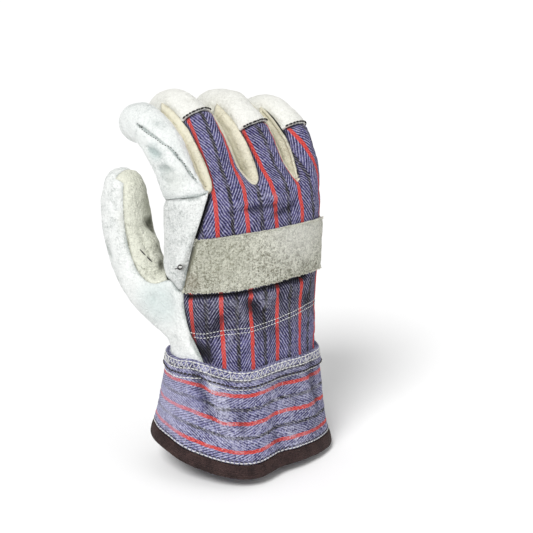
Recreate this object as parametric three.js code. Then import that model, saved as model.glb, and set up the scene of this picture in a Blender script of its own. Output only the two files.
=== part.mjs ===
// A right-hand rigger glove, filled out as if a hand were in it: split-leather palm, index finger
// and thumb, a striped drill back with a leather knuckle strap, and a flared drill safety cuff.
//
// Frame, in millimetres: +Z runs from the cuff's mouth to the fingers, the back of the hand faces -Y,
// the palm faces +Y and the thumb is on the -X side. The origin is the middle of the cuff's mouth.
//
// The glove is one closed skin, a cage of four-sided faces that is smoothed once. Each sewn piece is
// the patch of skin that it covers, thickened into a wall of its own between two depths from the skin.

import * as THREE from 'three';

// Cuff
const MOUTH_WIDTH = 120;
const MOUTH_DEPTH = 84;
const CUFF_HEIGHT = 68;
const CUFF_LAP = 8; // the cuff's top laps over the hand by this much
const BINDING_HEIGHT = 6.5;

// Hand
const WRIST_WIDTH = 98;
const WRIST_DEPTH = 62;
const PALM_LENGTH = 104; // cuff's top to the finger crotches, on the back
const KNUCKLE_WIDTH = 103;
const KNUCKLE_DEPTH = 58;
const STRAP_HEIGHT = 35;
const TAB_LENGTH = 31; // the palm leather's tongue over the cuff

// Fingers, each from its crotch to its tip along its middle
const INDEX_LENGTH = 80;
const MIDDLE_LENGTH = 99;
const RING_LENGTH = 97;
const LITTLE_LENGTH = 85;
const FINGER_DEPTH = 29;
const THUMB_LENGTH = 98;
const THUMB_WIDTH = 35;
const THUMB_DEPTH = 32;

// Walls
const LEATHER = 1.6;
const CLOTH = 1.2;
const SEAM_GAP = 0.3; // between two pieces that meet edge to edge
const LAP_GAP = 0.3; // between two pieces that lie on each other

// How deep each layer lies, measured outwards from the skin
const HAND_LEATHER = { low: -LEATHER, high: 0 };
const HAND_CLOTH = { low: -CLOTH, high: 0 };
const OVERLAY = { low: LAP_GAP, high: LAP_GAP + LEATHER };
const CUFF_WALL = { low: LAP_GAP, high: LAP_GAP + CLOTH };
const WELT = { low: CUFF_WALL.high + LAP_GAP, high: CUFF_WALL.high + LAP_GAP + CLOTH };
const BINDING = { low: CUFF_WALL.low - CLOTH, high: CUFF_WALL.high + CLOTH };
const TAB_LIFT = CUFF_WALL.high + LAP_GAP + LEATHER; // the palm leather climbs onto the cuff

// Heights of the skin's rows
const STRAP_LOW = CUFF_HEIGHT + 0.64 * (PALM_LENGTH - STRAP_HEIGHT);
const STRAP_HIGH = STRAP_LOW + STRAP_HEIGHT;
const CROTCH = CUFF_HEIGHT + PALM_LENGTH;
const lowerHand = (share) => THREE.MathUtils.lerp(CUFF_HEIGHT, STRAP_LOW, share);

// Rows of values under the names of their columns
function table(columns, ...rows) {
  return rows.map((row) => Object.fromEntries(columns.map((column, i) => [column, row[i]])));
}

// One row for each ring of the cuff and hand, from the hem up. wide, back and palm are shares of the
// girth at that height; square is how boxy the ring is; start and seam are the shares of the back
// where the thumb's side of its leather begins and ends; crest is how far the back bulges to a
// ridge, and dip how far that ridge hangs, as shares of the depth; tilt raises the back over the
// palm, skew the little finger's side over the thumb's, climb the thumb's side alone, and shift
// moves the ring sideways, as shares of the palm's length.
const ROWS = table(
  [
    'name', 'z', 'wide', 'back', 'palm', 'square', 'start', 'seam', 'crest', 'dip', 'tilt', 'skew', 'climb',
    'shift',
  ],
  ['hem', 0, 1, 0.86, 1, 2.0, 0, 0.25, 0.14, 0.05, 0, -0.06, 0.07, 0],
  ['bound', BINDING_HEIGHT, 0.99, 0.86, 1, 2.0, 0, 0.25, 0.14, 0.05, 0, -0.06, 0.07, 0],
  ['tab', CUFF_HEIGHT - TAB_LENGTH, 0.98, 0.88, 0.98, 2.1, 0, 0.23, 0.13, 0.08, 0, -0.06, 0.02, 0],
  ['lap', CUFF_HEIGHT - CUFF_LAP, 0.99, 0.94, 0.96, 2.2, 0, 0.18, 0.1, 0.11, 0.01, -0.06, -0.04, 0],
  ['cuffTop', CUFF_HEIGHT, 0.99, 0.94, 0.96, 2.2, 0, 0.14, 0.09, 0.11, 0.01, -0.055, -0.04, 0],
  ['thumbLow', lowerHand(0.25), 0.98, 1, 1, 2.3, -0.04, 0.06, 0.05, 0.06, 0.01, -0.03, -0.03, 0],
  ['elastic', lowerHand(0.62), 0.98, 0.96, 1.02, 2.3, -0.07, 0.01, 0.04, 0.03, 0.02, 0, 0.03, 0],
  ['strapLow', STRAP_LOW, 0.99, 1.02, 0.98, 2.3, -0.09, -0.01, 0.02, 0.02, 0.04, 0.02, 0.08, 0],
  ['strapHigh', STRAP_HIGH, 1, 1.02, 0.78, 2.4, -0.04, 0.12, 0.01, 0, 0.05, 0.02, 0.03, 0],
  ['crotch', CROTCH, 0.98, 0.9, 0.53, 2.6, 0, 0.24, 0, 0, 0.06, 0.01, 0, 0],
);
const ROW = Object.fromEntries(ROWS.map(({ name }, i) => [name, i]));

// Round each ring: three columns for each finger on the back and on the palm, and a point at each side
const COLUMNS = 3;
const ACROSS = 4 * COLUMNS;
const RING = 2 * ACROSS + 4;
const FIRST_ANGLE = THREE.MathUtils.degToRad(20); // from the side point to the first column line
const VALLEY = 0.1; // how deep the back dips between two fingers, as a share of its bulge
const CREST_AT = -0.36;
const CREST_WIDTH = 0.42;
const backPoint = (i) => i;
const LITTLE_SIDE = ACROSS + 1;
const palmPoint = (i) => RING - 2 - i;
const THUMB_SIDE = RING - 1;

// Fingers lean towards the thumb in degrees, and turn their curl inwards. curl scales their bends,
// and lobe is the share of the length where the drill ends.
const FINGERS = table(
  ['name', 'length', 'lean', 'turn', 'curl', 'wide', 'lobe'],
  ['index', INDEX_LENGTH, 12, -8, 0.92, 0.219, 0.48],
  ['middle', MIDDLE_LENGTH, 11, -8, 1, 0.238, 0.44],
  ['ring', RING_LENGTH, 8, -10, 1.03, 0.24, 0.34],
  ['little', LITTLE_LENGTH, 4, -11, 1.06, 0.215, 0.34],
);

// A finger's rings from crotch to tip. share is how far along a part of the finger: its root, the
// lobe up to where the drill ends, or the rest of it. wide and deep are shares of its width and depth.
const FINGER_RINGS = table(
  ['part', 'share', 'wide', 'deep'],
  ['root', 0.08, 0.975, 1.06],
  ['lobe', 0.62, 1, 0.99],
  ['lobe', 1, 1.01, 1],
  ['end', 0.35, 1, 0.96],
  ['end', 0.69, 0.93, 0.87],
  ['end', 0.905, 0.7, 0.6],
);

// How a finger bends, in degrees from straight up, at shares of its length
const BENDS = table(
  ['along', 'bend'],
  [0.1, 15],
  [0.3, 25],
  [0.48, 52],
  [0.66, 95],
  [0.84, 125],
  [0.95, 138],
);
function bendAt(along) {
  const next = BENDS.findIndex((spec) => spec.along >= along);
  if (next <= 0) return next === 0 ? BENDS[0].bend : BENDS.at(-1).bend;
  const [low, high] = [BENDS[next - 1], BENDS[next]];
  return THREE.MathUtils.mapLinear(along, low.along, high.along, low.bend, high.bend);
}
const LOBE_RINGS = 3; // the drill runs up the finger as far as this ring
const SIDE_RINGS = 4; // and the strips between the fingers as far as this one

// The thumb's rings from its root: rise is its direction in degrees up from level
const THUMB_RINGS = table(
  ['along', 'rise', 'wide', 'deep'],
  [0.14, 30, 1.06, 1.1],
  [0.34, 58, 1.0, 1.04],
  [0.58, 80, 0.99, 0.99],
  [0.84, 94, 0.88, 0.88],
  [0.955, 100, 0.62, 0.6],
);
const THUMB_HEADING = 63; // degrees from straight sideways round to the palm
const THUMB_RISE = 20; // its direction where it leaves the palm
const SMOOTHING_LOSS = 0.95; // smoothing draws a ten-sided ring in to this share of its radius

// Cloth and leather, coloured as the photograph shows them
const suede = new THREE.MeshStandardMaterial({ color: 0xd9ddd8, roughness: 0.95, metalness: 0 });
const creamLeather = new THREE.MeshStandardMaterial({ color: 0xd8d4bd, roughness: 0.9, metalness: 0 });
const strapSuede = new THREE.MeshStandardMaterial({ color: 0xbdbba8, roughness: 0.97, metalness: 0 });
const drill = new THREE.MeshStandardMaterial({ color: 0x5f5a86, roughness: 0.9, metalness: 0 });
const binding = new THREE.MeshStandardMaterial({ color: 0x3a2622, roughness: 0.7, metalness: 0 });

// The cage: points, and faces whose tag says which part of the skin they are
const points = [];
const faces = [];

function addPoint(x, y, z) {
  points.push(new THREE.Vector3(x, y, z));
  return points.length - 1;
}

function addFace(tag, ...corners) {
  faces.push({ tag, corners });
}

// Width and depth of the glove at a height, before a row's own shares
function girthAt(z) {
  if (z < CUFF_HEIGHT) {
    const up = z / CUFF_HEIGHT;
    return {
      width: THREE.MathUtils.lerp(MOUTH_WIDTH, WRIST_WIDTH, up),
      depth: THREE.MathUtils.lerp(MOUTH_DEPTH, WRIST_DEPTH, up),
    };
  }
  const up = Math.min(1, (z - CUFF_HEIGHT) / (STRAP_HIGH - CUFF_HEIGHT));
  return {
    width: THREE.MathUtils.lerp(WRIST_WIDTH, KNUCKLE_WIDTH, up),
    depth: THREE.MathUtils.lerp(WRIST_DEPTH, KNUCKLE_DEPTH, up),
  };
}

// Where column line i of the back lies across the hand, from 0 at the thumb to 1
function shareAcross(i, start, seam) {
  if (i <= COLUMNS) return start + ((seam - start) * i) / COLUMNS;
  return seam + ((1 - seam) * (i - COLUMNS)) / (ACROSS - COLUMNS);
}

// The same place from -1 to 1 over the hand's width
const acrossAt = (share) => -Math.cos(THREE.MathUtils.lerp(FIRST_ANGLE, Math.PI - FIRST_ANGLE, share));

// How fully a point of a ring lies at the thumb's side, from 1 over the thumb hole down to 0
function thumbward(slot) {
  const middle = palmPoint(1) + 0.5;
  const away = Math.min(Math.abs(slot - middle), Math.abs(slot + RING - middle));
  return Math.exp(-((Math.max(0, away - COLUMNS / 2) / (COLUMNS / 2)) ** 2));
}

function tubeRing(row, atCrotch) {
  const { width, depth } = girthAt(row.z);
  const halfWidth = (row.wide * width) / 2;
  const halfDepth = depth / 2;
  const ring = new Array(RING);
  const place = (slot, across, side) => {
    const bulge = Math.pow(1 - Math.pow(Math.abs(across), row.square), 1 / row.square);
    const onBack = side < 0;
    const crest = onBack ? Math.exp(-(((across - CREST_AT) / CREST_WIDTH) ** 2)) * bulge : 0;
    const reach = halfDepth * ((onBack ? row.back : row.palm) * bulge + 2 * row.crest * crest);
    const backness = -side * bulge;
    const raise = row.tilt * backness + row.skew * across + row.climb * thumbward(slot);
    const z = row.z + PALM_LENGTH * raise - depth * row.dip * crest;
    ring[slot] = addPoint(halfWidth * across + PALM_LENGTH * row.shift, side * reach, z);
  };
  for (let i = 0; i <= ACROSS; i++) {
    place(backPoint(i), acrossAt(shareAcross(i, row.start, row.seam)), -1);
    place(palmPoint(i), acrossAt(i / ACROSS), 1);
  }
  place(LITTLE_SIDE, 1, 1);
  place(THUMB_SIDE, -1, 1);
  if (atCrotch)
    for (let i = COLUMNS; i < ACROSS; i += COLUMNS)
      for (const slot of [backPoint(i), palmPoint(i)]) points[ring[slot]].y *= 1 - VALLEY;
  return ring;
}

// Joins two rings with the same number of points by a band of faces
function band(lower, upper, tagOf) {
  for (let i = 0; i < lower.length; i++) {
    const next = (i + 1) % lower.length;
    const tag = tagOf(i);
    if (tag) addFace(tag, lower[i], lower[next], upper[next], upper[i]);
  }
}

const inThumbHole = (row, column) =>
  row >= ROW.thumbLow && row < ROW.strapLow && column >= palmPoint(2) && column <= palmPoint(0);

const rings = ROWS.map((row) => tubeRing(row, row.name === 'crotch'));
for (let row = 0; row < rings.length - 1; row++)
  band(rings[row], rings[row + 1], (column) =>
    inThumbHole(row, column) ? null : { part: 'tube', row, column },
  );

// A ring of ten points: four on the front strip, one at a side, four on the rear strip, one at the
// other side. front and side are the directions that the strip and the first side face.
const RING_ANGLES = [-54, -18, 18, 54, 90, 126, 162, 198, 234, 270].map(THREE.MathUtils.degToRad);

function tenRing(centre, front, side, halfFront, halfSide) {
  return RING_ANGLES.map((angle) => {
    const p = centre
      .clone()
      .addScaledVector(front, (Math.cos(angle) * halfFront) / SMOOTHING_LOSS)
      .addScaledVector(side, (Math.sin(angle) * halfSide) / SMOOTHING_LOSS);
    return addPoint(p.x, p.y, p.z);
  });
}

// Closes a ten-point ring at a tip, with a seam from side to side over its middle
function closeTip(ring, tip, side, part, extra) {
  const near = addPoint(...tip.clone().addScaledVector(side, -1).toArray());
  const far = addPoint(...tip.clone().addScaledVector(side, 1).toArray());
  const [f0, f1, f2, f3, right, r3, r2, r1, r0, left] = ring;
  addFace({ part, half: 'front', ...extra }, left, f0, f1, near);
  addFace({ part, half: 'front', ...extra }, near, f1, f2, far);
  addFace({ part, half: 'front', ...extra }, far, f2, f3, right);
  addFace({ part, half: 'rear', ...extra }, right, r3, r2, far);
  addFace({ part, half: 'rear', ...extra }, far, r2, r1, near);
  addFace({ part, half: 'rear', ...extra }, near, r1, r0, left);
}

const middleOf = (indices) =>
  indices
    .reduce((sum, i) => sum.add(points[i]), new THREE.Vector3())
    .multiplyScalar(1 / indices.length);

// The webs between the fingers
const top = rings[ROW.crotch];
const webs = [];
for (let i = COLUMNS; i < ACROSS; i += COLUMNS) {
  const web = middleOf([top[backPoint(i)], top[palmPoint(i)]]);
  webs.push(addPoint(web.x, web.y, web.z - 0.02 * PALM_LENGTH));
}

FINGERS.forEach((finger, index) => {
  const first = index * COLUMNS;
  const base = [
    ...[0, 1, 2, 3].map((i) => top[backPoint(first + i)]),
    index < 3 ? webs[index] : top[LITTLE_SIDE],
    ...[3, 2, 1, 0].map((i) => top[palmPoint(first + i)]),
    index > 0 ? webs[index - 1] : top[THUMB_SIDE],
  ];
  const lean = THREE.MathUtils.degToRad(-finger.lean);
  const turn = THREE.MathUtils.degToRad(finger.turn);
  const upright = new THREE.Vector3(Math.sin(lean), 0, Math.cos(lean));
  const inward = new THREE.Vector3(Math.sin(turn), Math.cos(turn), 0);
  const side = new THREE.Vector3().crossVectors(inward, upright).normalize();
  const halfWidth = (finger.wide * KNUCKLE_WIDTH) / 2;
  const at = middleOf(base);
  let ring = base;
  let along = 0;
  let bend = BENDS[0].bend;
  FINGER_RINGS.forEach((spec, j) => {
    const [from, to] = { root: [0, 1], lobe: [0, finger.lobe], end: [finger.lobe, 1] }[spec.part];
    const nextAlong = THREE.MathUtils.lerp(from, to, spec.share);
    const nextBend = bendAt(nextAlong);
    const middle = THREE.MathUtils.degToRad((finger.curl * (bend + nextBend)) / 2);
    const step = finger.length * (nextAlong - along);
    at.addScaledVector(upright, step * Math.cos(middle)).addScaledVector(inward, step * Math.sin(middle));
    const angle = THREE.MathUtils.degToRad(finger.curl * nextBend);
    const front = upright.clone().multiplyScalar(Math.sin(angle)).addScaledVector(inward, -Math.cos(angle));
    const next = tenRing(at, front, side, (spec.deep * FINGER_DEPTH) / 2, spec.wide * halfWidth);
    band(ring, next, (edge) => ({ part: 'finger', finger: index, ring: j, edge }));
    ring = next;
    along = nextAlong;
    bend = nextBend;
  });
  const angle = THREE.MathUtils.degToRad(finger.curl * bend);
  const tip = at
    .clone()
    .addScaledVector(upright, finger.length * (1 - along) * Math.cos(angle))
    .addScaledVector(inward, finger.length * (1 - along) * Math.sin(angle));
  closeTip(ring, tip, side.clone().multiplyScalar(0.24 * halfWidth), 'fingertip', { finger: index });
});

// The thumb grows out of a hole in the palm's side
const holeRow = (name, slots) => slots.map((slot) => rings[ROW[name]][slot]);
const holeSlots = [THUMB_SIDE, palmPoint(0), palmPoint(1), palmPoint(2)];
const thumbBase = [
  ...holeRow('strapLow', holeSlots),
  ...holeRow('elastic', [palmPoint(2)]),
  ...holeRow('thumbLow', [...holeSlots].reverse()),
  ...holeRow('elastic', [THUMB_SIDE]),
];
{
  const heading = THREE.MathUtils.degToRad(THUMB_HEADING);
  const outward = new THREE.Vector3(-Math.cos(heading), Math.sin(heading), 0);
  const side = new THREE.Vector3(Math.sin(heading), Math.cos(heading), 0);
  const at = middleOf(thumbBase);
  let ring = thumbBase;
  let along = 0;
  let rise = THUMB_RISE;
  const towards = (degrees) =>
    outward
      .clone()
      .multiplyScalar(Math.cos(THREE.MathUtils.degToRad(degrees)))
      .setZ(Math.sin(THREE.MathUtils.degToRad(degrees)));
  THUMB_RINGS.forEach((spec, j) => {
    at.addScaledVector(towards((rise + spec.rise) / 2), THUMB_LENGTH * (spec.along - along));
    const front = new THREE.Vector3().crossVectors(side, towards(spec.rise));
    const next = tenRing(at, front, side, (spec.wide * THUMB_WIDTH) / 2, (spec.deep * THUMB_DEPTH) / 2);
    band(ring, next, (edge) => ({ part: 'thumb', ring: j, edge }));
    ring = next;
    ({ along, rise } = spec);
  });
  const tip = at.clone().addScaledVector(towards(rise), THUMB_LENGTH * (1 - along));
  closeTip(ring, tip, side.clone().multiplyScalar(0.1 * THUMB_DEPTH), 'thumbtip', {});
}

// One round of Catmull-Clark smoothing; an open rim is smoothed along itself
function smooth(cage) {
  const at = cage.points;
  const moved = [];
  const add = (p) => moved.push(p) - 1;
  const average = (list) =>
    list.reduce((sum, p) => sum.add(p), new THREE.Vector3()).multiplyScalar(1 / list.length);
  const around = at.map(() => ({ faces: [], edges: [], rim: [] }));
  const edges = new Map();
  const edgeOf = (a, b) => edges.get(a < b ? `${a} ${b}` : `${b} ${a}`);
  cage.faces.forEach((face) => {
    face.middle = average(face.corners.map((i) => at[i]));
    face.corners.forEach((a, i) => {
      const b = face.corners[(i + 1) % face.corners.length];
      const key = a < b ? `${a} ${b}` : `${b} ${a}`;
      if (!edges.has(key)) edges.set(key, { ends: [a, b], faces: [] });
      edges.get(key).faces.push(face);
      around[a].faces.push(face);
    });
  });
  for (const edge of edges.values()) {
    const [a, b] = edge.ends;
    edge.middle = average([at[a], at[b]]);
    const open = edge.faces.length === 1;
    for (const end of edge.ends) around[end][open ? 'rim' : 'edges'].push(edge.middle);
    edge.point = add(open ? edge.middle : average([at[a], at[b], ...edge.faces.map((f) => f.middle)]));
  }
  const corner = at.map((p, i) => {
    const { faces: near, edges: spokes, rim } = around[i];
    if (rim.length) return add(average([p, average(rim)]));
    const n = near.length;
    const sum = average(near.map((f) => f.middle)).addScaledVector(average(spokes), 2);
    return add(sum.addScaledVector(p, n - 3).multiplyScalar(1 / n));
  });
  const refined = cage.faces.flatMap((face) => {
    const middle = add(face.middle);
    const count = face.corners.length;
    return face.corners.map((a, i) => {
      const next = edgeOf(a, face.corners[(i + 1) % count]).point;
      const last = edgeOf(a, face.corners[(i + count - 1) % count]).point;
      return { tag: face.tag, corners: [corner[a], next, middle, last] };
    });
  });
  return { points: moved, faces: refined };
}

const skin = smooth({ points, faces });

// The skin's outward direction at each of its points
function skinNormals() {
  const normals = skin.points.map(() => new THREE.Vector3());
  for (const { corners } of skin.faces) {
    const [a, b, c, d] = corners.map((i) => skin.points[i]);
    const normal = new THREE.Vector3().crossVectors(c.clone().sub(a), d.clone().sub(b));
    corners.forEach((i) => normals[i].add(normal));
  }
  return normals.map((n) => n.normalize());
}

// Folds and dents of the cuff and hand: x and z are a fold's middle, turn its slope in degrees, long
// and broad its half length and half breadth, and rise how far it stands out, or in if negative.
const FOLDS = table(
  ['side', 'x', 'z', 'turn', 'long', 'broad', 'rise'],
  ['back', 10, STRAP_HIGH + 10, 4, 30, 4.5, -2.2],
  ['back', -16, STRAP_HIGH + 12, 60, 14, 5, -1.5],
  ['back', 0, lowerHand(0.62), 6, 50, 5, -1.4],
  ['back', -22, lowerHand(0.42), 65, 17, 5, -2.6],
  ['back', -11, lowerHand(0.36), 70, 16, 5, 1.8],
  ['back', 34, lowerHand(0.25), 110, 14, 6, -2],
  ['back', 8, 0.42 * CUFF_HEIGHT, 84, 34, 7, -3.2],
  ['back', 32, 0.4 * CUFF_HEIGHT, 100, 30, 8, 2.2],
  ['back', -42, 0.6 * CUFF_HEIGHT, 90, 24, 7, -1.6],
  ['palm', 6, CUFF_HEIGHT + 0.5 * PALM_LENGTH, 0, 26, 20, -4.5],
  ['palm', 12, CROTCH - 14, -4, 40, 5, -2.4],
  ['palm', -24, CUFF_HEIGHT + 0.3 * PALM_LENGTH, 70, 22, 7, -3],
  ['palm', 26, CUFF_HEIGHT + 0.28 * PALM_LENGTH, 60, 16, 7, -2],
  ['palm', -14, 0.36 * CUFF_HEIGHT, 92, 24, 8, -2.4],
  ['palm', 24, 0.3 * CUFF_HEIGHT, 86, 26, 9, 2],
);
{
  const facings = skinNormals();
  skin.points.forEach((p, i) => {
    if (p.z > CROTCH) return;
    const { x, z } = p;
    let rise = 0;
    for (const fold of FOLDS) {
      const turn = THREE.MathUtils.degToRad(fold.turn);
      const u = ((x - fold.x) * Math.cos(turn) + (z - fold.z) * Math.sin(turn)) / fold.long;
      const v = ((z - fold.z) * Math.cos(turn) - (x - fold.x) * Math.sin(turn)) / fold.broad;
      const facing = Math.max(0, fold.side === 'palm' ? facings[i].y : -facings[i].y);
      rise += fold.rise * facing * Math.exp(-u * u - v * v);
    }
    p.addScaledVector(facings[i], rise);
  });
}

skin.normals = skinNormals();

// Evened out with its neighbours', so that the walls of two pieces stay apart in a tight crease
{
  const even = skin.normals.map((n) => n.clone().multiplyScalar(2));
  for (const { corners } of skin.faces)
    corners.forEach((i, k) => even[i].add(skin.normals[corners[(k + 1) % 4]]));
  skin.normals = even.map((n) => n.normalize());
}

// The share of a wall's inward depth that the skin leaves room for, less in a tight crease
skin.room = skin.points.map(() => 1);
for (const { corners } of skin.faces) {
  const [a, b, c, d] = corners.map((i) => skin.points[i]);
  const normal = new THREE.Vector3().crossVectors(c.clone().sub(a), d.clone().sub(b)).normalize();
  for (const i of corners)
    skin.room[i] = Math.min(skin.room[i], Math.max(0.2, normal.dot(skin.normals[i]) ** 6));
}

// A sewn piece: the patch of skin whose tags it covers, as a wall from depth low to depth high,
// drawn in from its neighbours by half the seam gap. lift raises the wall where it climbs.
function panel(name, material, layer, covers, lift = () => 0) {
  const patch = skin.faces.filter(({ tag }) => covers(tag));
  const halfEdges = new Set();
  for (const { corners } of patch)
    corners.forEach((a, i) => halfEdges.add(`${a} ${corners[(i + 1) % corners.length]}`));
  const rim = [...halfEdges]
    .map((key) => key.split(' ').map(Number))
    .filter(([a, b]) => !halfEdges.has(`${b} ${a}`));

  const inset = new Map();
  for (const [a, b] of rim) {
    const along = skin.points[b].clone().sub(skin.points[a]).normalize();
    for (const i of [a, b]) {
      const inward = new THREE.Vector3().crossVectors(skin.normals[i], along).normalize();
      if (!inset.has(i)) inset.set(i, []);
      inset.get(i).push(inward);
    }
  }
  const slots = new Map();
  const vertices = [];
  const place = (i) => {
    if (slots.has(i)) return slots.get(i);
    const base = skin.points[i].clone();
    const inwards = inset.get(i);
    if (inwards) {
      const sum = inwards.reduce((total, v) => total.add(v), new THREE.Vector3());
      const share = Math.max(sum.lengthSq() / inwards.length ** 2, 0.3);
      base.addScaledVector(sum, SEAM_GAP / 2 / inwards.length / share);
    }
    const raise = lift(skin.points[i]);
    for (const depth of [layer.low + raise, layer.high + raise])
      vertices.push(
        ...base
          .clone()
          .addScaledVector(skin.normals[i], depth < 0 ? depth * skin.room[i] : depth)
          .toArray(),
      );
    slots.set(i, slots.size);
    return slots.size - 1;
  };
  const inner = (i) => 2 * place(i);
  const outer = (i) => 2 * place(i) + 1;
  const triangles = [];
  const quad = (a, b, c, d) => triangles.push(a, b, c, a, c, d);
  for (const { corners } of patch) {
    quad(...corners.map(outer));
    const [a, b, c, d] = corners.map(inner);
    triangles.push(a, c, b, a, d, c);
  }
  for (const [a, b] of rim) quad(inner(a), inner(b), outer(b), outer(a));

  const geometry = new THREE.BufferGeometry();
  geometry.setAttribute('position', new THREE.Float32BufferAttribute(vertices, 3));
  geometry.setIndex(triangles);
  geometry.computeVertexNormals();
  const mesh = new THREE.Mesh(geometry, material);
  mesh.name = name;
  return mesh;
}

const onTube = (tag, fromRow, toRow, ...columns) =>
  tag.part === 'tube' &&
  tag.row >= ROW[fromRow] &&
  tag.row < ROW[toRow] &&
  columns.some(([first, last]) => tag.column >= first && tag.column <= last);
const onEdges = (tag, ...edges) => edges.includes(tag.edge);

// Columns of the tube that each piece takes
const CLOTH_COLUMNS = [COLUMNS, ACROSS];
const WRAP_COLUMNS = [0, COLUMNS - 1];
const SIDE_COLUMNS = [THUMB_SIDE, THUMB_SIDE];
const THUMB_COLUMNS = [palmPoint(2), palmPoint(0)];
const TAIL_COLUMNS = [palmPoint(3), palmPoint(3)];
const PALM_COLUMNS = [ACROSS + 1, palmPoint(4)];
const TAB_COLUMNS = [ACROSS + 2, palmPoint(4)];
const ALL_COLUMNS = [0, RING - 1];
const INDEX = 0;
const LITTLE = 3;

const glove = new THREE.Group();
glove.name = 'rigger_glove';

glove.add(
  panel('back_cloth', drill, HAND_CLOTH, (tag) => {
    if (tag.part === 'finger')
      return (
        tag.finger !== INDEX &&
        tag.ring < LOBE_RINGS &&
        (onEdges(tag, 0, 1, 2) || (tag.finger === LITTLE && onEdges(tag, 3)))
      );
    return onTube(tag, 'lap', 'crotch', CLOTH_COLUMNS);
  }),
);

// The palm leather climbs onto the cuff, whose top runs askew
const palmLift = (p) => {
  const askew = (ROWS[ROW.cuffTop].skew * PALM_LENGTH * p.x) / (WRIST_WIDTH / 2);
  return TAB_LIFT * (1 - THREE.MathUtils.smoothstep(p.z - askew, CUFF_HEIGHT, ROWS[ROW.thumbLow].z));
};
const palmSideLift = (p) => (p.y > 0 ? palmLift(p) : 0);
glove.add(
  panel(
    'palm_leather',
    suede,
    HAND_LEATHER,
    (tag) => {
      if (tag.part === 'fingertip') return tag.finger !== INDEX && tag.half === 'rear';
      if (tag.part === 'finger')
        return (
          tag.finger !== INDEX &&
          (onEdges(tag, 5, 6, 7) ||
            (tag.finger === LITTLE && onEdges(tag, 4)) ||
            (tag.ring >= SIDE_RINGS && onEdges(tag, 4, 8)))
        );
      return (
        onTube(tag, 'tab', 'crotch', TAB_COLUMNS) ||
        onTube(tag, 'lap', 'crotch', PALM_COLUMNS) ||
        onTube(tag, 'strapLow', 'crotch', TAIL_COLUMNS, THUMB_COLUMNS, SIDE_COLUMNS, WRAP_COLUMNS)
      );
    },
    palmSideLift,
  ),
);

glove.add(
  panel('index_leather', suede, HAND_LEATHER, (tag) => {
    if (tag.part === 'fingertip') return tag.finger === INDEX;
    return (
      tag.part === 'finger' && tag.finger === INDEX && !(tag.ring < SIDE_RINGS && onEdges(tag, 3, 4))
    );
  }),
);

// A strip lines the facing sides of two fingers and the web between them
FINGERS.slice(0, -1).forEach((finger, index) => {
  glove.add(
    panel(
      `${finger.name}_${FINGERS[index + 1].name}_strip`,
      creamLeather,
      HAND_LEATHER,
      (tag) =>
        tag.part === 'finger' &&
        tag.ring < SIDE_RINGS &&
        ((tag.finger === index && onEdges(tag, 3, 4)) || (tag.finger === index + 1 && onEdges(tag, 8, 9))),
    ),
  );
});

FINGERS.slice(1).forEach((finger, i) => {
  glove.add(
    panel(`${finger.name}_cap`, suede, HAND_LEATHER, (tag) => {
      if (tag.finger !== i + 1) return false;
      if (tag.part === 'fingertip') return tag.half === 'front';
      const outerSide = tag.finger === LITTLE && onEdges(tag, 3);
      return (
        (tag.ring >= LOBE_RINGS && (onEdges(tag, 0, 1, 2) || outerSide)) ||
        (tag.ring >= SIDE_RINGS && onEdges(tag, 3, 9))
      );
    }),
  );
});

glove.add(
  panel('thumb_inner', suede, HAND_LEATHER, (tag) => {
    if (tag.part === 'thumbtip') return tag.half === 'front';
    if (tag.part === 'thumb') return onEdges(tag, 0, 1, 2, 3);
    return onTube(tag, 'lap', 'strapLow', TAIL_COLUMNS);
  }),
  panel('thumb_outer', suede, HAND_LEATHER, (tag) => {
    if (tag.part === 'thumbtip') return tag.half === 'rear';
    if (tag.part === 'thumb') return onEdges(tag, 4, 5, 6, 7, 8, 9);
    return (
      onTube(tag, 'lap', 'strapLow', WRAP_COLUMNS, SIDE_COLUMNS) ||
      onTube(tag, 'lap', 'thumbLow', THUMB_COLUMNS)
    );
  }),
  panel('knuckle_strap', strapSuede, OVERLAY, (tag) => onTube(tag, 'strapLow', 'strapHigh', CLOTH_COLUMNS)),
  panel('palm_patch', suede, OVERLAY, (tag) =>
    onTube(tag, 'strapLow', 'strapHigh', PALM_COLUMNS, TAIL_COLUMNS),
  ),
  panel('cuff_cloth', drill, CUFF_WALL, (tag) => onTube(tag, 'bound', 'cuffTop', ALL_COLUMNS)),
  panel('cuff_welt', drill, WELT, (tag) =>
    onTube(tag, 'lap', 'cuffTop', CLOTH_COLUMNS, WRAP_COLUMNS, SIDE_COLUMNS, THUMB_COLUMNS, TAIL_COLUMNS),
  ),
  panel('cuff_binding', binding, BINDING, (tag) => onTube(tag, 'hem', 'bound', ALL_COLUMNS)),
);

export default glove;
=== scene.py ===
from math import atan2, cos, pi, radians, sin, sqrt

import bmesh
import bpy
import numpy as np
from mathutils import Matrix, Vector, noise
from mathutils.bvhtree import BVHTree
from mathutils.kdtree import KDTree


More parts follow.
